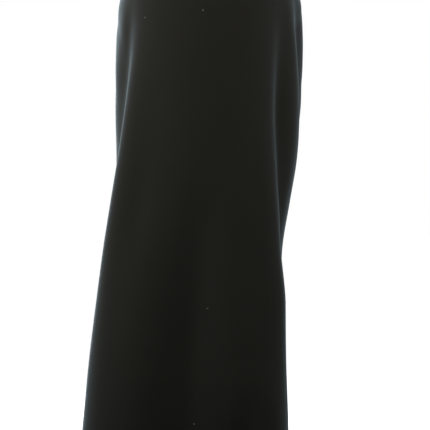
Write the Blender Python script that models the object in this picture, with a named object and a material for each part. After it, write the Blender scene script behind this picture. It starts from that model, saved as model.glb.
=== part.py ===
"""A long pull-on skirt in heavy black knit: front panel, back panel and an elasticated waistband.

Metres, +Z up. The origin is the centre of the waist opening, at mid-height of the waistband.
The front faces -Y. Every piece is a thin wall on one surface, which hangs from the hips in soft
folds. The surface is given ring by ring: an oval from SECTIONS, with the FOLDS added round it.
"""

from math import radians

import bmesh
import bpy
import numpy as np

# Driving dimensions
SKIRT_LENGTH = 1.000  # top of the waistband to the hem
BAND_HEIGHT = 0.035
CLOTH = 0.0020
BAND_CLOTH = 0.0032  # two layers of knit round the elastic
HEM_CLOTH = 0.0032  # knit turned up inside
HEM_DEPTH = 0.025
BAND_PROUD = 0.0006
SEAM_GAP = 0.0003
SEAM_ANGLE = radians(98)  # side seams, from the centre front
OVAL_POWER = 2.15  # 2 is an ellipse, more is squarer

PANEL_COLUMNS = 42
PANEL_ROWS = 19
CROWDING = 0.35  # how much closer the columns stand at the deep folds near the sides
ROW_GROWTH = 1.15  # rows stand closer near the waist, where the cloth turns over the hips
BAND_COLUMNS = 64
SHARPEST_SMOOTH = radians(50)  # edges sharper than this are shaded as edges

# Rings of the skirt without its folds, in millimetres.
# drop: below the waistband's top edge. left, right, front, back: reach from the origin's axis.
SECTIONS = (
    # drop, left, right, front, back
    (0, 131, 131, 95, 96),
    (35, 136, 136, 99, 101),
    (70, 154, 155, 107, 112),
    (105, 166, 167, 112, 120),
    (160, 172, 172, 116, 128),
    (235, 175, 173, 118, 132),
    (320, 175, 171, 118, 132),
    (400, 174, 163, 118, 131),
    (480, 177, 148, 120, 131),
    (570, 187, 133, 124, 133),
    (660, 198, 133, 130, 138),
    (760, 210, 134, 138, 145),
    (860, 220, 139, 146, 153),
    (1000, 234, 145, 157, 165),
)

# Folds, soft ridges (depth above 0) and troughs (below 0) that run down the cloth.
# start, full: drops in millimetres between which a fold grows.
# turn: degrees from the centre front, + to the right, at the drops in FOLD_LEVELS.
# depth: millimetres when full, and at the hem. width: degrees, likewise.
FOLD_LEVELS = (100, 300, 550, 1000)
FOLDS = (
    # name, start, full, turn 1, turn 2, turn 3, turn 4, depth full, depth hem, width full, width hem
    ("left front ridge", 150, 520, -60, -63, -65, -65, 27, 27, 13, 22),
    ("left side trough", 90, 260, -67, -73, -82, -84, -14, -18, 7, 11),
    ("right front ridge", 300, 660, 45, 47, 57, 58, 38, 28, 15, 19),
    ("right side trough", 60, 340, 60, 61, 68, 72, -18, -14, 7, 10),
    ("right hip trough", 60, 200, 75, 87, 104, 112, -12, -10, 6, 10),
    ("front left ridge", 280, 700, -44, -44, -44, -35, 7, 7, 13, 23),
    ("front middle trough", 360, 800, 0, 0, 0, -6, -22, -30, 20, 26),
    ("front right ridge", 340, 760, 37, 37, 37, 47, 17, 34, 19, 11),
    ("front hem trough", 780, 940, 41, 41, 41, 36, -16, -12, 7, 8),
    ("back right ridge", 200, 560, 124, 124, 125, 126, 12, 24, 13, 13),
    ("back right trough", 240, 640, 147, 148, 149, 150, -7, -15, 13, 13),
    ("back middle ridge", 260, 760, 177, 176, 175, 173, 9, 20, 13, 13),
    ("back left trough", 240, 620, -165, -164, -163, -162, -8, -16, 12, 12),
    ("back left ridge", 180, 540, -135, -136, -137, -138, 12, 25, 13, 14),
    ("left back trough", 220, 560, -112, -112, -112, -112, -8, -16, 11, 12),
)

MM = 0.001


def curve_through(rows, at):
    """The columns after the first, at this value of the first: one smooth curve through the rows."""
    rows = np.array(rows, float)
    stations, values = rows[:, 0], rows[:, 1:]
    slopes = np.gradient(values, stations, axis=0)
    i = int(np.clip(np.searchsorted(stations, at, "right") - 1, 0, len(rows) - 2))
    step = stations[i + 1] - stations[i]
    t = (at - stations[i]) / step
    return (
        values[i] * (1 + 2 * t) * (1 - t) ** 2
        + slopes[i] * step * t * (1 - t) ** 2
        + values[i + 1] * t * t * (3 - 2 * t)
        + slopes[i + 1] * step * t * t * (t - 1)
    )


def eased(at, start, end):
    t = np.clip((at - start) / (end - start), 0, 1)
    return t * t * (3 - 2 * t)


def fold_height(angles, drop):
    """How far the folds stand out from the oval at these angles, in millimetres."""
    height = np.zeros_like(angles)
    for _, start, full, *turns, deep_1, deep_2, wide_1, wide_2 in FOLDS:
        lower = np.clip((drop - full) / (SKIRT_LENGTH / MM - full), 0, 1)
        turn = curve_through(list(zip(FOLD_LEVELS, turns)), max(drop, FOLD_LEVELS[0]))[0]
        depth = eased(drop, start, full) * (deep_1 + (deep_2 - deep_1) * lower)
        width = radians(wide_1 + (wide_2 - wide_1) * lower)
        away = (angles - radians(turn) + np.pi) % (2 * np.pi) - np.pi
        height += depth * np.exp(-((away / width) ** 2))
    return height


def ring(angles, drop):
    """Points of the cloth's outer face at this drop, in metres, as x and y columns."""
    left, right, front, back = curve_through(SECTIONS, drop / MM)
    half = (left + right) / 2
    depth = np.where(np.cos(angles) > 0, front, back)
    across = np.abs(np.sin(angles)) / half
    along = np.abs(np.cos(angles)) / depth
    radius = (across**OVAL_POWER + along**OVAL_POWER) ** (-1 / OVAL_POWER)
    radius = radius + fold_height(angles, drop / MM)
    centre = (right - left) / 2
    return MM * np.stack([centre + radius * np.sin(angles), -radius * np.cos(angles)], axis=1)


def outward(angles, drop):
    """Unit vectors at right angles to the ring, in its own plane."""
    nearby = radians(0.2)
    along = ring(angles + nearby, drop) - ring(angles - nearby, drop)
    across = np.stack([along[:, 1], -along[:, 0]], axis=1)
    return across / np.linalg.norm(across, axis=1, keepdims=True)


def wall(name, angles, rows, closed, material):
    """One cloth wall. rows: (drop, how far proud of the surface, thickness) from the top down."""
    mesh = bmesh.new()
    faces = []
    for inside in (False, True):
        grid = []
        for drop, proud, thick in rows:
            points = ring(angles, drop) + outward(angles, drop) * (proud - inside * thick)
            height = BAND_HEIGHT / 2 - drop
            grid.append([mesh.verts.new((x, y, height)) for x, y in points])
        faces.append(grid)
    outer, inner = faces
    columns = len(angles)
    last = len(rows) - 1
    for i in range(columns if closed else columns - 1):
        j = (i + 1) % columns
        for k in range(last):
            mesh.faces.new((outer[k][i], outer[k + 1][i], outer[k + 1][j], outer[k][j]))
            mesh.faces.new((inner[k][j], inner[k + 1][j], inner[k + 1][i], inner[k][i]))
        mesh.faces.new((inner[0][i], outer[0][i], outer[0][j], inner[0][j]))
        mesh.faces.new((outer[last][i], inner[last][i], inner[last][j], outer[last][j]))
    if not closed:
        # The seam faces twist, so both panels split them along the same diagonal.
        for k in range(last):
            for end, turn in ((0, 1), (-1, -1)):
                top, lower = outer[k][end], inner[k + 1][end]
                mesh.faces.new((top, inner[k][end], lower)[::turn])
                mesh.faces.new((top, lower, outer[k + 1][end])[::turn])
    data = bpy.data.meshes.new(name)
    mesh.to_mesh(data)
    mesh.free()
    data.shade_smooth()
    data.set_sharp_from_angle(angle=SHARPEST_SMOOTH)
    data.materials.append(material)
    piece = bpy.data.objects.new(name, data)
    bpy.context.scene.collection.objects.link(piece)
    return piece


def knit(name, colour, roughness, sheen):
    """Black wool knit: matt, with a pale sheen where it turns away."""
    material = bpy.data.materials.new(name)
    material.use_nodes = True
    finish = material.node_tree.nodes["Principled BSDF"]
    finish.inputs["Base Color"].default_value = (*colour, 1)
    finish.inputs["Roughness"].default_value = roughness
    finish.inputs["Metallic"].default_value = 0
    finish.inputs["Sheen Weight"].default_value = sheen
    return material


def seam_to_seam(start, end):
    """Angles across a panel, half the seam gap in from each seam, closer together at the folds."""
    t = np.linspace(0, 1, PANEL_COLUMNS + 1)
    t = t + CROWDING * np.sin(4 * np.pi * t) / (4 * np.pi)
    first, final = (np.array([edge]) for edge in (start, end))
    reach = np.linalg.norm(ring(first, SKIRT_LENGTH / 2)[0])
    margin = SEAM_GAP / 2 / reach
    return first[0] + margin + (final[0] - first[0] - 2 * margin) * t


def panel(name, start, end, material):
    top = BAND_HEIGHT + SEAM_GAP
    hem_top = SKIRT_LENGTH - HEM_DEPTH
    drops = top + (hem_top - CLOTH / 2 - top) * np.linspace(0, 1, PANEL_ROWS) ** ROW_GROWTH
    rows = [(drop, 0, CLOTH) for drop in drops]
    rows += [(hem_top, 0, HEM_CLOTH), (SKIRT_LENGTH, 0, HEM_CLOTH)]
    return wall(name, seam_to_seam(start, end), rows, False, material)


def waistband(name, material):
    angles = np.linspace(-np.pi, np.pi, BAND_COLUMNS, endpoint=False)
    drops = np.linspace(0, BAND_HEIGHT, 3)
    return wall(name, angles, [(drop, BAND_PROUD, BAND_CLOTH) for drop in drops], True, material)


for old in list(bpy.data.objects):
    bpy.data.objects.remove(old, do_unlink=True)

front_knit = knit("front_knit", (0.012, 0.012, 0.010), 0.92, 0.5)
back_knit = knit("back_knit", (0.012, 0.012, 0.010), 0.92, 0.5)
band_knit = knit("band_knit", (0.011, 0.011, 0.010), 0.90, 0.4)

panel("front_panel", -SEAM_ANGLE, SEAM_ANGLE, front_knit)
panel("back_panel", SEAM_ANGLE, 2 * np.pi - SEAM_ANGLE, back_knit)
waistband("waistband", band_knit)
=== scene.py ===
"""The looks of a long black knit skirt, worn and hollow: panels, hem, seams, waistband and lint."""

from math import radians

import bpy
import numpy as np
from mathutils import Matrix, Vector


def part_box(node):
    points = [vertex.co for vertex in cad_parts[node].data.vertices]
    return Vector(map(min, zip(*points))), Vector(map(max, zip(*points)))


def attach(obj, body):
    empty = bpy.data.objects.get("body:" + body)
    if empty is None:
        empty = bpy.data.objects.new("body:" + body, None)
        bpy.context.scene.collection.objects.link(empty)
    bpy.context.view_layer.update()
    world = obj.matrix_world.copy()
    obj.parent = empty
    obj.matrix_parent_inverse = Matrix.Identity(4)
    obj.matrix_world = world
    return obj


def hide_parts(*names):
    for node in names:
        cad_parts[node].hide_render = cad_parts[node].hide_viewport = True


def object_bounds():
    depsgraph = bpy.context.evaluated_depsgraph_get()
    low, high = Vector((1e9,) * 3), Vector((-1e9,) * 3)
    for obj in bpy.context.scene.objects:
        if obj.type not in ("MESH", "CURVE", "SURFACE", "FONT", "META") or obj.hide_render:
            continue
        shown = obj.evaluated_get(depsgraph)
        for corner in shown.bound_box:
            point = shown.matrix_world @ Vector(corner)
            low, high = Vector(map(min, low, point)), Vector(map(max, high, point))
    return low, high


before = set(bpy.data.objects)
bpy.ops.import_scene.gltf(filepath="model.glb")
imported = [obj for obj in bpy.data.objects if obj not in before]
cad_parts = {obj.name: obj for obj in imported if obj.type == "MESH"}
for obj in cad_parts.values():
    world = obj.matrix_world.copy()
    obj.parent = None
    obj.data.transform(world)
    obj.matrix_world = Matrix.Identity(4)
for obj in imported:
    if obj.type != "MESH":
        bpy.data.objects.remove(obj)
cad_low, cad_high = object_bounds()


# Front and back panels: heavy black wool knit with a soft nap. Each is cut with a flare and hangs
# from the hips, so its spare cloth falls in soft folds. The top edge is caught between the two
# layers of the waistband, the sides roll in at the seams, and the hem is turned up inside.

MM = 0.001
BAND_HEIGHT = cad_high.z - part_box("waistband")[0].z
SKIRT_LENGTH = cad_high.z - cad_low.z
SEAM_ANGLE = radians(98)  # side seams, from the centre front
OVAL_POWER = 2.15  # 2 is an ellipse, more is squarer
SEAM_GAP = 0.01 * MM
CLOTH = 0.0012
HEM_DEPTH = 0.025
TURN = 0.0013  # radius of a folded edge
CAUGHT_TOP = BAND_HEIGHT - 0.0015  # drop of the cut edge between the waistband's layers
CAUGHT_END = BAND_HEIGHT + 0.0045  # where the cloth has come out to its own surface
CAUGHT_INSET = 0.0010
CAUGHT_ROWS = 8
EDGE_ROLL = 0.0009  # how far a panel's edge dips in at a seam
ROLLED_COLUMNS = (0, 0.25 * MM, 0.6 * MM, 1.1 * MM, 1.8 * MM, 2.6 * MM)
PANEL_COLUMNS = 132
PANEL_ROWS = 230
CROWDING = 0.35  # how much closer the columns stand at the deep folds near the sides
HEM_STITCH_ROWS = (0.0175, 0.0225)  # heights above the hem's edge
ROWS_AT_STITCH = (-1.4 * MM, -0.7 * MM, 0, 0.7 * MM, 1.4 * MM)
STITCH_PULL = 0.35 * MM  # how deep a row of stitches draws the cloth in
STITCH_PULL_REACH = 0.9 * MM
HEM_RIPPLE = 0.30 * MM
HEM_RIPPLES = 57
GATHER_DEPTH = 0.0015
GATHER_LENGTH = 0.020
GATHER_PINCH = (-0.002, 0.005)  # drops below the seam between which it lets go of the gathers
GATHER_WAVES = (
    # count round the waist, share, start
    (41, 0.5, 0),
    (29, 0.3, 1.3),
    (67, 0.2, 0),
)

# The skirt's rings without folds: millimetres of reach from the waist's axis.
SECTIONS = (
    # drop, left, right, front, back
    (0, 131, 131, 95, 96),
    (35, 136, 136, 99, 101),
    (70, 154, 155, 107, 112),
    (105, 166, 167, 112, 120),
    (160, 172, 172, 116, 128),
    (235, 175, 173, 118, 132),
    (320, 175, 171, 118, 132),
    (400, 174, 163, 118, 131),
    (480, 177, 148, 120, 131),
    (570, 187, 133, 124, 133),
    (660, 198, 133, 130, 138),
    (760, 210, 134, 138, 145),
    (860, 220, 139, 146, 153),
    (1000, 234, 145, 157, 165),
)

# Ridges (depth above 0) and troughs (below 0). start, full: drops between which a fold grows.
# turn: degrees from the centre front at the drops in FOLD_LEVELS. depth in mm, width in degrees.
FOLD_LEVELS = (100, 300, 550, 1000)
FOLDS = (
    # name, start, full, turn 1, turn 2, turn 3, turn 4, depth full, depth hem, width full, width hem
    ("left front ridge", 150, 520, -60, -63, -65, -65, 27, 27, 13, 22),
    ("left side trough", 90, 260, -67, -73, -82, -84, -14, -18, 7, 11),
    ("right front ridge", 300, 660, 45, 47, 57, 58, 38, 28, 15, 19),
    ("right side trough", 60, 340, 60, 61, 68, 72, -18, -14, 7, 10),
    ("right hip trough", 60, 200, 75, 87, 104, 112, -12, -10, 6, 10),
    ("front left ridge", 280, 700, -44, -44, -44, -35, 7, 7, 13, 23),
    ("front middle trough", 360, 800, 0, 0, 0, -6, -22, -30, 20, 26),
    ("front right ridge", 340, 760, 37, 37, 37, 47, 17, 34, 19, 11),
    ("front hem trough", 780, 940, 41, 41, 41, 36, -16, -12, 7, 8),
    ("back right ridge", 200, 560, 124, 124, 125, 126, 12, 24, 13, 13),
    ("back right trough", 240, 640, 147, 148, 149, 150, -7, -15, 13, 13),
    ("back middle ridge", 260, 760, 177, 176, 175, 173, 9, 20, 13, 13),
    ("back left trough", 240, 620, -165, -164, -163, -162, -8, -16, 12, 12),
    ("back left ridge", 180, 540, -135, -136, -137, -138, 12, 25, 13, 14),
    ("left back trough", 220, 560, -112, -112, -112, -112, -8, -16, 11, 12),
)

# Shallow drag lines that the hips pull into the knit, in millimetres and degrees. A width is
# measured at CREASE_RADIUS from the waist's axis.
CREASE_RADIUS = 150
CREASES = (
    # name, angle top, angle end, drop top, drop end, depth, width
    ("left hip, filled out", -71, -74, 92, 262, 3.6, 12),
    ("left hip, upper", -104, -70, 92, 205, -1.1, 11),
    ("left hip, lower", -110, -78, 150, 330, -1.3, 14),
    ("right hip, upper", 100, 72, 88, 190, -1.0, 10),
    ("right hip, lower", 112, 84, 165, 330, -1.2, 13),
    ("left thigh", -52, -44, 330, 610, -0.9, 16),
    ("right thigh", 36, 42, 300, 560, -0.9, 15),
    ("seat, left", -150, -128, 150, 330, -1.3, 14),
    ("seat, right", 155, 132, 170, 350, -1.2, 15),
    ("under the seat", -176, 168, 265, 300, -1.0, 15),
)


def curve_through(rows, at):
    """The columns after the first, at this value of the first: one smooth curve through the rows."""
    rows = np.array(rows, float)
    stations, values = rows[:, 0], rows[:, 1:]
    slopes = np.gradient(values, stations, axis=0)
    i = int(np.clip(np.searchsorted(stations, at, "right") - 1, 0, len(rows) - 2))
    step = stations[i + 1] - stations[i]
    t = (at - stations[i]) / step
    return (
        values[i] * (1 + 2 * t) * (1 - t) ** 2
        + slopes[i] * step * t * (1 - t) ** 2
        + values[i + 1] * t * t * (3 - 2 * t)
        + slopes[i + 1] * step * t * t * (t - 1)
    )


def eased(at, start, end):
    """From 0 at the start to 1 at the end, with no corner at either."""
    t = np.clip((at - start) / (end - start), 0, 1)
    return t * t * (3 - 2 * t)


def turned(angles, by):
    """Angles measured from another one, between -pi and pi."""
    return (angles - by + np.pi) % (2 * np.pi) - np.pi


def ring(angles, drop):
    """The cloth's outer face at this drop below the waistband's top: x and y, in metres."""
    left, right, front, back = curve_through(SECTIONS, drop / MM)
    depth = np.where(np.cos(angles) > 0, front, back)
    across = np.abs(np.sin(angles)) * 2 / (left + right)
    along = np.abs(np.cos(angles)) / depth
    radius = (across**OVAL_POWER + along**OVAL_POWER) ** (-1 / OVAL_POWER)
    for _, start, full, *turns, deep_1, deep_2, wide_1, wide_2 in FOLDS:
        lower = np.clip((drop / MM - full) / (SKIRT_LENGTH / MM - full), 0, 1)
        level = max(drop / MM, FOLD_LEVELS[0])
        turn = curve_through(list(zip(FOLD_LEVELS, turns)), level)[0]
        deep = eased(drop / MM, start, full) * (deep_1 + (deep_2 - deep_1) * lower)
        wide = radians(wide_1 + (wide_2 - wide_1) * lower)
        radius = radius + deep * np.exp(-((turned(angles, radians(turn)) / wide) ** 2))
    centre = (right - left) / 2
    return MM * np.stack([centre + radius * np.sin(angles), -radius * np.cos(angles)], axis=1)


def outward(angles, drop):
    """Unit vectors at right angles to the ring, in its own plane."""
    nearby = radians(0.2)
    along = ring(angles + nearby, drop) - ring(angles - nearby, drop)
    across = np.stack([along[:, 1], -along[:, 0]], axis=1)
    return across / np.linalg.norm(across, axis=1, keepdims=True)


def gathers(angles):
    """Uneven puckers round the waist, from -1 to 1."""
    uneven = angles + 0.06 * np.sin(3 * angles + 0.7) + 0.03 * np.sin(7 * angles)
    return sum(share * np.sin(count * uneven + begin) for count, share, begin in GATHER_WAVES)


def relief(angles, drop):
    """What stands out from the ring: gathers, drag lines and the pull of the hem's stitches."""
    below = drop - BAND_HEIGHT
    puckers = np.exp(-below / GATHER_LENGTH) * eased(below, *GATHER_PINCH)
    height = GATHER_DEPTH * gathers(angles) * puckers
    for _, turn_1, turn_2, drop_1, drop_2, deep, wide in CREASES:
        t = (drop / MM - drop_1) / (drop_2 - drop_1)
        if not 0 < t < 1:
            continue
        line = radians(turn_1) + turned(radians(turn_2), radians(turn_1)) * t
        away = turned(angles, line) * CREASE_RADIUS / wide
        height = height + deep * MM * np.sin(np.pi * t) ** 2 * np.exp(-(away**2))
    for above in HEM_STITCH_ROWS:
        pull = (drop - (SKIRT_LENGTH - above)) / STITCH_PULL_REACH
        height = height - STITCH_PULL * np.exp(-(pull**2))
    at_hem = eased(drop, SKIRT_LENGTH - 2 * HEM_DEPTH, SKIRT_LENGTH - 0.5 * HEM_DEPTH)
    ripple = np.sin(HEM_RIPPLES * angles + 2 * np.sin(5 * angles))
    return height + HEM_RIPPLE * ripple * at_hem


def at_height(points, drop):
    """x and y with the z of this drop below the waistband's top edge."""
    return np.column_stack([points, np.full(len(points), cad_high.z - drop)])


def on_cloth(angles, drop, stand):
    """Points on the cloth's outer face, or this far out from it."""
    reach = relief(angles, drop) + stand
    if np.ndim(reach) == 1:
        reach = reach[:, None]
    return at_height(ring(angles, drop) + outward(angles, drop) * reach, drop)


def mesh_piece(name, points, faces, material):
    """A smooth-shaded object in the scene, made of these points and faces."""
    data = bpy.data.meshes.new(name)
    data.from_pydata(points, [], faces)
    data.validate()
    data.shade_smooth()
    data.materials.append(material)
    piece = bpy.data.objects.new(name, data)
    bpy.context.scene.collection.objects.link(piece)
    return piece


def cloth_piece(name, rows, closed, material, thickness):
    """A sheet of cloth through rows of points, with a map in metres along and down the cloth."""
    rows = np.array(rows)
    count, columns = rows.shape[:2]
    across = np.roll(rows, -1, axis=1) if closed else rows[:, 1:]
    widths = np.linalg.norm(across - rows[:, : across.shape[1]], axis=2)
    along = np.concatenate([np.zeros((count, 1)), np.cumsum(widths, axis=1)], axis=1)
    along = along - along[:, -1:] / 2
    down = np.linalg.norm(np.diff(rows[:, columns // 2], axis=0), axis=1)
    down = np.concatenate([[0], np.cumsum(down)])
    faces, spots = [], []
    for k in range(count - 1):
        upper, lower = k * columns, (k + 1) * columns
        for i in range(across.shape[1]):
            j = (i + 1) % columns
            faces.append((upper + i, lower + i, lower + j, upper + j))
            spots += [(along[k, i], down[k]), (along[k + 1, i], down[k + 1])]
            spots += [(along[k + 1, i + 1], down[k + 1]), (along[k, i + 1], down[k])]
    piece = mesh_piece(name, rows.reshape(-1, 3).tolist(), faces, material)
    layer = piece.data.uv_layers.new(name="knit")
    layer.uv.foreach_set("vector", np.array(spots, np.float32).ravel())
    faces_beside = np.bincount([corner.edge_index for corner in piece.data.loops])
    piece.data.edges.foreach_set("use_edge_sharp", faces_beside == 1)
    wall = piece.modifiers.new("cloth", "SOLIDIFY")
    wall.thickness = thickness
    wall.offset = -1
    wall.use_even_offset = True
    return piece


class Tone:
    """A node's output, such as a number that changes over a surface. Sums on it add Math nodes."""

    def __init__(self, finish, socket):
        self.finish, self.socket = finish, socket

    def sum(self, operation, *values):
        inputs = dict(enumerate(values))
        return self.finish.add("ShaderNodeMath", {"operation": operation}, inputs)

    def __add__(self, other):
        return self.sum("ADD", self, other)

    def __radd__(self, other):
        return self.sum("ADD", other, self)

    def __sub__(self, other):
        return self.sum("SUBTRACT", self, other)

    def __rsub__(self, other):
        return self.sum("SUBTRACT", other, self)

    def __mul__(self, other):
        return self.sum("MULTIPLY", self, other)

    def __rmul__(self, other):
        return self.sum("MULTIPLY", other, self)

    def __truediv__(self, other):
        return self.sum("DIVIDE", self, other)

    def from_same_node(self, output):
        return Tone(self.finish, self.socket.node.outputs[output])

    def part(self):
        return self.sum("FRACT", self)

    def size(self):
        return self.sum("ABSOLUTE", self)

    def wave(self):
        return self.sum("SINE", self)


class Nodes:
    """The nodes of one material or world, and the one way that they are made."""

    def __init__(self, owner):
        owner.use_nodes = True
        self.nodes = owner.node_tree.nodes
        self.links = owner.node_tree.links

    def add(self, kind, settings=None, inputs=None, output=0):
        made = self.nodes.new(kind)
        for name, value in (settings or {}).items():
            setattr(made, name, value)
        self.feed(made, inputs or {})
        return Tone(self, made.outputs[output])

    def feed(self, node, inputs):
        for name, value in inputs.items():
            if isinstance(value, Tone):
                self.links.new(value.socket, node.inputs[name])
            else:
                node.inputs[name].default_value = value

    def mix(self, share, first, second):
        settings = {"data_type": "RGBA"}
        inputs = {"Factor": share, 6: first, 7: second}
        return self.add("ShaderNodeMix", settings, inputs, output=2)

    def noise(self, place, scale, detail):
        inputs = {"Vector": place, "Scale": scale, "Detail": detail}
        return self.add("ShaderNodeTexNoise", {}, inputs)


class Finish(Nodes):
    """A material. Its constants go on the shader's own sockets, with _ for a space."""

    def __init__(self, name, **constants):
        self.material = bpy.data.materials.new(name)
        super().__init__(self.material)
        self.surface = self.nodes["Principled BSDF"]
        for socket, value in constants.items():
            self.surface.inputs[socket.replace("_", " ")].default_value = value


# How many times a metre each of the knit's uneven textures changes.
FIBRES = 1400
NAP_CLUMPS = 260
WORN_PATCHES = 11
KNIT_RELIEF = 0.22 * MM


def knitted(name, shade, wale, course):
    """Black wool knit: columns of small stitches, wale wide and course tall, under a short nap."""
    finish = Finish(
        name,
        Metallic=0.0,
        IOR=1.45,
        Specular_IOR_Level=0.18,
        Sheen_Weight=0.75,
        Sheen_Roughness=0.42,
        Sheen_Tint=(0.66, 0.86, 1.0, 1.0),
    )
    place = finish.add("ShaderNodeTexCoord", output="Object")
    on_knit = finish.add("ShaderNodeUVMap", {"uv_map": "knit"})
    along = finish.add("ShaderNodeSeparateXYZ", inputs={0: on_knit})
    down = along.from_same_node(1)

    leg = ((along / wale).part() - 0.5).size() * 2  # 0 in the middle of a column, 1 at its edges
    plump = 1 - ((leg - 0.5) * 2).size()  # 1 along the middle of each leg of a stitch
    slant = (down / course + leg * 0.5) * (2 * np.pi)
    stitches = plump * (slant.wave() * 0.35 + 0.65)
    nap = finish.noise(place, FIBRES, 3)
    clumps = finish.noise(place, NAP_CLUMPS, 3)
    patches = finish.noise(place, WORN_PATCHES, 2)

    pale = tuple(1.28 * c for c in shade)
    deep = tuple(0.74 * c for c in shade)
    colour = finish.mix(patches * 0.5 + nap * 0.3 + clumps * 0.2, (*deep, 1), (*pale, 1))
    rough = 0.80 + patches * 0.10 + nap * 0.08
    height = stitches * 0.45 + nap * 0.35 + clumps * 0.5
    inputs = {"Height": height, "Strength": 0.45, "Distance": KNIT_RELIEF}
    bump = finish.add("ShaderNodeBump", {}, inputs)
    finish.feed(finish.surface, {"Base Color": colour, "Roughness": rough, "Normal": bump})
    return finish.material


WOOL_BLACK = (0.0115, 0.0112, 0.0086)
body_knit = knitted("black_wool_knit", WOOL_BLACK, wale=0.0014, course=0.0011)


def panel_profile():
    """(drop, inset) down a panel: from inside the waistband, down the outside, round the hem, up."""
    hem = SKIRT_LENGTH
    caught = []
    for t in np.linspace(0, 1, CAUGHT_ROWS, endpoint=False):
        caught.append((CAUGHT_TOP + (CAUGHT_END - CAUGHT_TOP) * t, CAUGHT_INSET * (1 - t) ** 2))
    outside = list(np.linspace(CAUGHT_END, hem - TURN, PANEL_ROWS))
    for above in HEM_STITCH_ROWS:
        outside += [hem - above + step for step in ROWS_AT_STITCH]
    half_turn = np.linspace(0, np.pi, 8)
    under = [(hem - TURN * (1 - np.sin(a)), TURN * (1 - np.cos(a))) for a in half_turn]
    up_inside = [(hem - TURN - (HEM_DEPTH - TURN) * t, 2 * TURN) for t in (0.25, 0.5, 0.75, 1)]
    return caught + [(drop, 0) for drop in sorted(outside)] + under + up_inside


def panel_angles(start, end):
    """Angles across a panel: fine steps where its edges roll in, closer together at the folds."""
    reach = np.linalg.norm(ring(np.array([start]), SKIRT_LENGTH / 2)[0])
    edge = (np.array(ROLLED_COLUMNS) + SEAM_GAP / 2) / reach
    t = np.linspace(0, 1, PANEL_COLUMNS + 1)[1:-1]
    t = t + CROWDING * np.sin(4 * np.pi * t) / (4 * np.pi)
    middle = start + edge[-1] + (end - start - 2 * edge[-1]) * t
    roll = EDGE_ROLL * (1 - np.array(ROLLED_COLUMNS) / ROLLED_COLUMNS[-1]) ** 2
    angles = np.concatenate([start + edge, middle, (end - edge)[::-1]])
    return angles, np.concatenate([roll, np.zeros(len(middle)), roll[::-1]])


def panel(name, start, end):
    """One panel, from seam to seam and from the waistband round to the hem's raw edge."""
    angles, roll = panel_angles(start, end)
    rows = [on_cloth(angles, drop, -inset - roll) for drop, inset in panel_profile()]
    piece = cloth_piece(name + "_cloth", rows, False, body_knit, CLOTH)
    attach(piece, "root")
    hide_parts(name)
    return piece


front = panel("front_panel", -SEAM_ANGLE, SEAM_ANGLE)
back = panel("back_panel", SEAM_ANGLE, 2 * np.pi - SEAM_ANGLE)


# Seam allowances: at each side and round the waist, both layers of knit are overlocked together
# inside, 8.5 mm wide. The side ones are pressed towards the back, the waist one hangs down.

ALLOWANCE = 0.0085
ALLOWANCE_THICK = 0.0022
ALLOWANCE_PAST_SEAM = 0.0008  # how far it covers the seam on the other side
OVERLOCK_FROM = 0.003  # from the seam to the inner side of the overlock
OVERLOCK_STEP = 0.0026
OVERLOCK_THREAD = 0.00019
OVERLOCK_START = 0.002  # from one end of the allowance
OVERLOCK_STOP = 0.003  # from its other end
OVERLOCK_CLEAR = 0.1 * MM
SIDE_ROWS = 190
WAIST_COLUMNS = 240


def tube_lines(lines, radius, sides=5):
    """Points and faces of many short threads. lines: an array of threads by points by xyz."""
    lines = np.array(lines)
    threads, stops = lines.shape[:2]
    along = np.gradient(lines, axis=1)
    along /= np.linalg.norm(along, axis=2, keepdims=True)
    up = np.where(np.abs(along[..., 2:]) > 0.8, [[[1.0, 0.3, 0]]], [[[0, 0, 1.0]]])
    aside = np.cross(along, up)
    aside /= np.linalg.norm(aside, axis=2, keepdims=True)
    above = np.cross(aside, along)
    turn = np.linspace(0, 2 * np.pi, sides, endpoint=False)[:, None]
    hoop = np.cos(turn) * aside[:, :, None] + np.sin(turn) * above[:, :, None]
    points = (lines[:, :, None] + radius * hoop).reshape(-1, 3)
    faces = []
    for n in range(threads):
        first = n * stops * sides
        for k in range(stops - 1):
            for i in range(sides):
                a = first + k * sides + i
                b = first + k * sides + (i + 1) % sides
                faces.append((a, b, b + sides, a + sides))
        last = first + (stops - 1) * sides
        faces.append(tuple(range(first + sides - 1, first - 1, -1)))
        faces.append(tuple(range(last, last + sides)))
    return points.tolist(), faces


def strip(name, rows, closed):
    """A flat allowance as a closed band: rows are its four corner lines, taken round its section."""
    corners = np.array(rows)
    sides, length = corners.shape[:2]
    faces = []
    for k in range(length if closed else length - 1):
        m = (k + 1) % length
        for i in range(sides):
            j = (i + 1) % sides
            faces.append((i * length + k, j * length + k, j * length + m, i * length + m))
    if not closed:
        faces.append(tuple(i * length for i in reversed(range(sides))))
        faces.append(tuple(i * length + length - 1 for i in range(sides)))
    piece = mesh_piece(name, corners.reshape(-1, 3).tolist(), faces, body_knit)
    piece.data.set_sharp_from_angle(angle=radians(40))
    return piece


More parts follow.
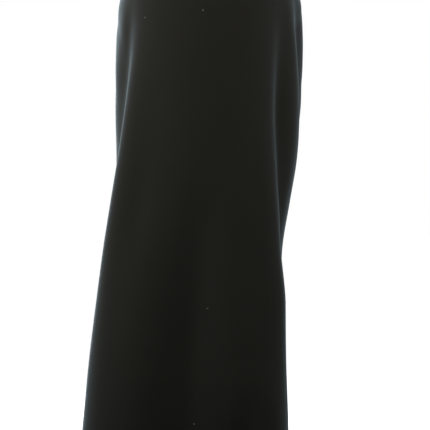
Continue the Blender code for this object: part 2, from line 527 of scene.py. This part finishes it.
def overlocked(name, near, edge, out, pitch):
    """Overlock thread over an allowance's edge. near, edge: points down the two sides of the
    stitching, out: unit vectors from one face of the allowance to the other."""
    near, edge, out = (np.array(values) for values in (near, edge, out))
    walked = np.concatenate([[0], np.cumsum(np.linalg.norm(np.diff(edge, axis=0), axis=1))])
    stops = np.arange(OVERLOCK_START, walked[-1] - OVERLOCK_STOP, pitch)

    def read(points, at):
        return np.stack([np.interp(at, walked, points[:, i]) for i in range(3)], axis=1)

    proud = ALLOWANCE_THICK / 2 + OVERLOCK_CLEAR
    here, there, face = read(near, stops), read(edge, stops), read(out, stops)
    beyond = read(edge, stops + pitch / 2) + (there - here) * 0.08
    lines = np.stack(
        [
            here - face * proud * 0.7,
            here * 0.5 + there * 0.5 - face * proud,
            there - face * proud,
            beyond,
            read(edge, stops + pitch) + face * proud,
            (read(near, stops + pitch) + read(edge, stops + pitch)) / 2 + face * proud,
            read(near, stops + pitch) + face * proud * 0.7,
        ],
        axis=1,
    )
    points, faces = tube_lines(lines, OVERLOCK_THREAD, 4)
    return mesh_piece(name, points, faces, thread)


def thread_finish():
    """Black polyester sewing thread, with fine twist lines that catch a little light."""
    finish = Finish("black_thread", Metallic=0.0, IOR=1.5, Specular_IOR_Level=0.4)
    place = finish.add("ShaderNodeTexCoord", output="Object")
    twist = finish.noise(place, 2400, 1)
    colour = finish.mix(twist, (0.006, 0.006, 0.006, 1), (0.018, 0.018, 0.017, 1))
    finish.feed(finish.surface, {"Base Color": colour, "Roughness": 0.42 + twist * 0.2})
    return finish.material


thread = thread_finish()


def side_allowance(name, angle, towards):
    """The pressed allowance of one side seam, and its overlock."""
    top = BAND_HEIGHT + ALLOWANCE + 1.5 * MM
    low = SKIRT_LENGTH - HEM_DEPTH - 0.6 * MM
    deep = -EDGE_ROLL / 2 - CLOTH - 0.4 * MM
    inner, outer, near, edge, out = [], [], [], [], []
    for drop in np.linspace(top, low, SIDE_ROWS):
        reach = np.linalg.norm(ring(np.array([angle]), drop)[0])
        places = np.array([-ALLOWANCE_PAST_SEAM, OVERLOCK_FROM, ALLOWANCE])
        across = angle + towards * places / reach
        skin = on_cloth(across, drop, deep)
        inside = on_cloth(across, drop, deep - ALLOWANCE_THICK)
        outer.append(skin)
        inner.append(inside)
        middle = (skin + inside) / 2
        near.append(middle[1])
        edge.append(middle[2])
        out.append((skin[1] - inside[1]) / ALLOWANCE_THICK)
    outer, inner = np.array(outer), np.array(inner)
    loop = [outer[:, 0], outer[:, 2], inner[:, 2], inner[:, 0]][::towards]
    piece = strip(name, loop, False)
    sewing = overlocked(name + "_overlock", near, edge, out, OVERLOCK_STEP)
    return piece, sewing


left_seam = side_allowance("left_seam_allowance", -SEAM_ANGLE, -1)
right_seam = side_allowance("right_seam_allowance", SEAM_ANGLE, 1)


def waist_allowance():
    """The hanging allowance of the waist seam, and its overlock."""
    angles = np.linspace(0, 2 * np.pi, WAIST_COLUMNS, endpoint=False)
    skin = -CLOTH - 0.7 * MM
    inside = skin - ALLOWANCE_THICK
    top = BAND_HEIGHT + 0.4 * MM
    low = top + ALLOWANCE
    corners = ((top, skin), (low, skin), (low, inside), (top, inside))
    loop = [on_cloth(angles, drop, deep) for drop, deep in corners]
    piece = strip("waist_seam_allowance", loop, True)
    sewn = top + OVERLOCK_FROM
    near = (on_cloth(angles, sewn, skin) + on_cloth(angles, sewn, inside)) / 2
    edge = (loop[1] + loop[2]) / 2
    out = (loop[1] - loop[2]) / ALLOWANCE_THICK
    sewing = overlocked("waist_seam_overlock", near, edge, out, OVERLOCK_STEP)
    return piece, sewing


waist_seam = waist_allowance()


# Hem stitching: a twin needle sews the turned-up hem from the right side, two even rows of black
# thread, and its looper thread zigzags between them inside.

STITCH = 0.0030
STITCH_GAP = 0.0007
STITCH_THREAD = 0.00021
STITCH_SHAPE = (
    # share of its length, stand from the cloth
    (0, -0.25 * MM),
    (0.12, 0.12 * MM),
    (0.5, 0.20 * MM),
    (0.88, 0.12 * MM),
    (1, -0.25 * MM),
)
LOOPER_THREAD = 0.00017
HEM_OVERLOCK_WIDTH = 0.0045
HEM_OVERLOCK_STEP = 0.0028
HEM_COLUMNS = 600


def hem_stitches():
    """The two rows of stitches outside, and the looper thread that joins them inside."""
    outside, rows = [], []
    for above in HEM_STITCH_ROWS:
        drop = SKIRT_LENGTH - above
        fine = np.linspace(-np.pi, np.pi, 2881)
        points = at_height(ring(fine, drop), drop)
        walked = np.concatenate([[0], np.cumsum(np.linalg.norm(np.diff(points, axis=0), axis=1))])
        count = int(walked[-1] / (STITCH + STITCH_GAP))
        starts = np.arange(count) * walked[-1] / count
        rows.append((drop, np.interp(starts, walked, fine)))
        lines = []
        for share, stand in STITCH_SHAPE:
            turns = np.interp(starts + STITCH * share, walked, fine)
            lines.append(on_cloth(turns, drop, stand))
        outside.append(np.stack(lines, axis=1))
    (drop_1, turns_1), (drop_2, turns_2) = rows
    count = min(len(turns_1), len(turns_2)) - 1
    deep = -2 * TURN - 0.2 * MM
    first = on_cloth(turns_1[:count], drop_1, deep)
    second = on_cloth(turns_2[:count], drop_2, deep)
    third = on_cloth(turns_1[1 : count + 1], drop_1, deep)
    inside = np.stack([first, (first + second) / 2, second, (second + third) / 2, third], axis=1)
    points, faces = tube_lines(np.concatenate(outside), STITCH_THREAD)
    top = mesh_piece("hem_stitches", points, faces, thread)
    points, faces = tube_lines(inside, LOOPER_THREAD, 4)
    return top, mesh_piece("hem_looper_thread", points, faces, thread)


hem_sewing = hem_stitches()


def hem_overlock():
    """Overlock along the hem's raw edge, inside."""
    angles = np.linspace(0, 2 * np.pi, HEM_COLUMNS)
    deep = -2 * TURN + CLOTH / 2
    edge_drop = SKIRT_LENGTH - HEM_DEPTH
    near = on_cloth(angles, edge_drop + HEM_OVERLOCK_WIDTH, deep)
    edge = on_cloth(angles, edge_drop - 0.2 * MM, deep)
    out = on_cloth(angles, edge_drop, 0) - on_cloth(angles, edge_drop, -MM)
    return overlocked("hem_overlock", near, edge, out / MM, HEM_OVERLOCK_STEP)


hem_edge = hem_overlock()


# Waistband: one loop of the same knit, folded over 32 mm elastic. The elastic draws the knit into
# fine uneven ripples. Its lower edges are overlocked to the panels inside.

BAND_PROUD = 0.0006
BAND_THICK = 0.0032  # two layers of knit round the elastic
BAND_CLOTH = 0.0010
BAND_COLUMNS = 360
BAND_RIPPLE = 0.55 * MM
BAND_PUCKER = 0.18 * MM
BAND_PUCKERS = 150
BAND_EDGE = ((0, 0.30 * MM), (0.3 * MM, 0.08 * MM))  # height above its lower edge, inset
BAND_FACE_FROM = 1.0 * MM

band_knit = knitted("waistband_knit", WOOL_BLACK, wale=0.0013, course=0.0011)


def waistband():
    """The folded loop, from its lower edge up the outside, over the top and down the inside."""
    angles = np.linspace(0, 2 * np.pi, BAND_COLUMNS, endpoint=False)
    half = BAND_THICK / 2
    half_turn = np.linspace(0, np.pi, 9)
    edge = [(BAND_HEIGHT - above, inset) for above, inset in BAND_EDGE]
    face = [(drop, 0) for drop in np.linspace(BAND_HEIGHT - BAND_FACE_FROM, half, 26)]
    over = [(half * (1 - np.sin(a)), half * (1 - np.cos(a))) for a in half_turn[1:-1]]
    inside = [(drop, BAND_THICK) for drop in np.linspace(half, BAND_HEIGHT, 20)]
    rows = []
    for drop, inset in edge + face + over + inside:
        spread = np.sin(np.pi * np.clip(drop / BAND_HEIGHT, 0.06, 0.94)) ** 0.6  # less at its edges
        ripple = BAND_RIPPLE * gathers(angles + 0.15 * drop)
        pucker = BAND_PUCKER * np.sin(BAND_PUCKERS * angles + 3 * np.sin(9 * angles) + 60 * drop)
        stand = BAND_PROUD - inset + spread * (ripple + pucker)
        points = ring(angles, drop) + outward(angles, drop) * stand[:, None]
        rows.append(at_height(points, drop))
    return cloth_piece("waistband_cloth", rows, True, band_knit, BAND_CLOTH)


band = waistband()
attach(band, "root")
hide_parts("waistband")

for piece in (*left_seam, *right_seam, *waist_seam, *hem_sewing, hem_edge):
    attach(piece, "root")


# Lint: a few pale curled fibres that the nap has caught on the front.

FIBRE = 0.00016
FIBRE_POINTS = 6
FIBRE_CURL = 1.6
LINT = (
    # degrees from the centre front, drop, fibres, spread
    (-52.5, 0.1475, 9, 0.0011),
    (-6.0, 0.1375, 11, 0.0012),
    (13.5, 0.6700, 9, 0.0010),
    (6.0, 0.8750, 8, 0.0010),
)


def lint_finish():
    """Dull grey fluff, with a little sheen of its own."""
    finish = Finish("grey_lint", Metallic=0.0, Sheen_Weight=0.4, Sheen_Roughness=0.5)
    place = finish.add("ShaderNodeTexCoord", output="Object")
    dust = finish.noise(place, 1800, 1)
    colour = finish.mix(dust, (0.10, 0.10, 0.10, 1), (0.24, 0.24, 0.23, 1))
    finish.feed(finish.surface, {"Base Color": colour, "Roughness": 0.85 + dust * 0.1})
    return finish.material


def lint():
    """Tufts of short curled fibres, each tuft lying just off the cloth."""
    chance = np.random.default_rng(7)
    up = np.array([0, 0, 1])
    lines = []
    for degrees, drop, fibres, spread in LINT:
        angle = np.array([radians(degrees)])
        spot = on_cloth(angle, drop, 0.4 * MM)[0]
        out = np.append(outward(angle, drop)[0], 0)
        aside = np.array([-out[1], out[0], 0])
        for _ in range(fibres):
            start = chance.normal(0, spread * 0.4, 2)
            heading = chance.uniform(0, 2 * np.pi)
            curl = chance.uniform(-FIBRE_CURL, FIBRE_CURL)
            line = []
            for step in range(FIBRE_POINTS):
                line.append(spot + aside * start[0] + up * start[1] + out * 0.2 * MM * step)
                start = start + spread * 0.3 * np.array([np.cos(heading), np.sin(heading)])
                heading += curl * 0.4
            lines.append(line)
    points, faces = tube_lines(lines, FIBRE, 4)
    return mesh_piece("lint", points, faces, lint_finish())


fluff = lint()
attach(fluff, "root")


# The studio: a plain pale floor just below the hem, a white surround, a soft key light high at the
# front left, and soft boxes round the sides and behind that bring out the sheen of the nap.

WHITE = (1, 1, 1, 1)
FLOOR = cad_low.z - 0.07
FLOOR_SIDE = 80.0
PAINTED_SHADE_NEAR = 0.45  # how far out from the waist's axis the painted grey shade round the skirt begins to fade to white
PAINTED_SHADE_FAR = 1.30


def pale_floor():
    """A floor with a painted glow that lights nothing: grey painted shade near the skirt, plain white
    further out, under the skirt's real soft shadow.
    """
    finish = Finish("pale_floor", Base_Color=(0.90, 0.90, 0.90, 1), Roughness=0.9, Emission_Strength=1)
    place = finish.add("ShaderNodeTexCoord", output="Object")
    away = finish.add("ShaderNodeVectorMath", {"operation": "LENGTH"}, {0: place}, output=1)
    reach = finish.add(
        "ShaderNodeMapRange",
        {"interpolation_type": "SMOOTHSTEP"},
        {"Value": away, "From Min": PAINTED_SHADE_NEAR, "From Max": PAINTED_SHADE_FAR},
    )
    # Painted shade: the glow is grey (0.62) near the skirt and fades to plain white further out.
    painted_glow_and_shade = finish.mix(reach, (0.62, 0.62, 0.62, 1), WHITE)
    finish.feed(finish.surface, {"Emission Color": painted_glow_and_shade})
    half = FLOOR_SIDE / 2
    corners = [(x * half, y * half, 0) for x, y in ((-1, -1), (1, -1), (1, 1), (-1, 1))]
    floor = mesh_piece("floor", corners, [(0, 1, 2, 3)], finish.material)
    floor.location.z = FLOOR
    floor.visible_diffuse = False
    floor.visible_glossy = False


pale_floor()


def white_surround(seen, lit):
    """White where it is looked at, and a much weaker fill light on the cloth."""
    world = bpy.data.worlds.new("studio")
    bpy.context.scene.world = world
    surround = Nodes(world)
    surround.nodes.remove(surround.nodes["Background"])
    fill, backdrop = (
        surround.add("ShaderNodeBackground", {}, {"Color": WHITE, "Strength": strength})
        for strength in (lit, seen)
    )
    looked_at = surround.add("ShaderNodeLightPath", output="Is Camera Ray")
    chosen = surround.add("ShaderNodeMixShader", {}, {0: looked_at, 1: fill, 2: backdrop})
    surround.feed(surround.nodes["World Output"], {"Surface": chosen})


white_surround(seen=1.0, lit=0.02)

WARM = (1.0, 0.94, 0.84)
COOL = (0.93, 0.97, 1.0)
LIGHTS = (
    # name, degrees round from the front, degrees up, distance, aim below the origin, side, watts, tint
    ("key", -30, 33, 1.5, 0.20, 1.0, 7.5, WARM),
    ("left_box", -76, 5, 1.2, 0.12, 0.6, 12.5, WARM),
    ("right_box", 60, 5, 1.2, 0.12, 0.6, 8.0, WARM),
    ("left_side", -112, 5, 1.2, 0.12, 0.6, 7.0, COOL),
    ("right_side", 90, 15, 2.2, 0.45, 1.0, 10.0, COOL),
    ("left_back", -150, 15, 2.2, 0.45, 1.0, 30.0, COOL),
    ("right_back", 135, 15, 2.2, 0.45, 1.0, 10.0, COOL),
)


def soft_light(name, turn, rise, away, below, side, power, tint):
    """A square soft box that faces a point below the origin."""
    lamp = bpy.data.lights.new(name, "AREA")
    lamp.shape = "SQUARE"
    lamp.size = side
    lamp.energy = power
    lamp.color = tint
    aim = Vector((0, 0, -below))
    out = Vector((np.sin(radians(turn)), -np.cos(radians(turn)), np.tan(radians(rise)))).normalized()
    holder = bpy.data.objects.new(name, lamp)
    holder.location = aim + out * away
    holder.rotation_euler = out.to_track_quat("Z", "Y").to_euler()
    holder.visible_camera = False
    bpy.context.scene.collection.objects.link(holder)


for light in LIGHTS:
    soft_light(*light)

CAMERA_AWAY = 3.2
CAMERA_ASIDE = 0.0093
FRAME_SPAN = 0.797  # what the frame spans at the waist's axis
FRAME_TOP = 0.105  # its top edge, as a drop below the waistband's top

eye = bpy.data.cameras.new("camera")
eye.lens = eye.sensor_width * CAMERA_AWAY / FRAME_SPAN
camera = bpy.data.objects.new("camera", eye)
camera.location = (CAMERA_ASIDE, -CAMERA_AWAY, cad_high.z - FRAME_TOP - FRAME_SPAN / 2)
camera.rotation_euler = (radians(90), 0, 0)
bpy.context.scene.collection.objects.link(camera)
bpy.context.scene.camera = camera
bpy.context.scene.view_settings.view_transform = "Standard"
